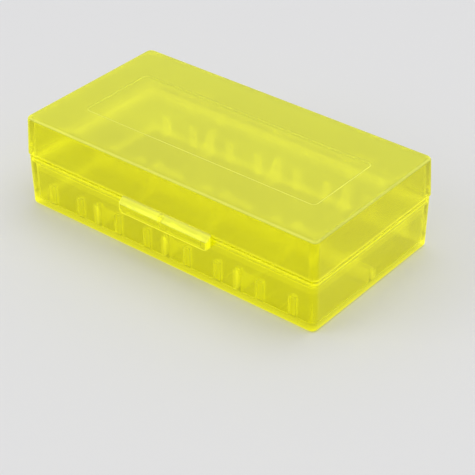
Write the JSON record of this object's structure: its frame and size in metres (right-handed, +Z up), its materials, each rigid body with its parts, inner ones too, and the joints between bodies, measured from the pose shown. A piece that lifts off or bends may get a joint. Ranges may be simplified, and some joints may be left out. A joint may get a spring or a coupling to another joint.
{
  "type": "battery storage case",
  "caption": "Translucent hinged clamshell case with a ribbed tray for round cells, a plain lid with a shallow panel, rear snap hinges and a front tab that hooks over the tray.",
  "frame": {"origin": "middle of the flat underside that the case stands on", "axes": "+X along the length, +Y towards the hinges at the back, +Z up through the lid"},
  "size_m": [0.077, 0.0453, 0.0214],
  "materials": {
    "tray_plastic": "translucent yellow, satin gloss",
    "lid_plastic": "translucent yellow, satin gloss"
  },
  "bodies": {
    "tray": {"case_tray": "tray_plastic"},
    "lid": {"case_lid": "lid_plastic"}
  },
  "joints": [
    {"name": "lid_hinge", "type": "hinge", "parent": "tray", "child": "lid", "pos_m": [0, 0.0219, 0.01215], "axis": [-1, 0, 0], "range_deg": [0, 180]}
  ]
}
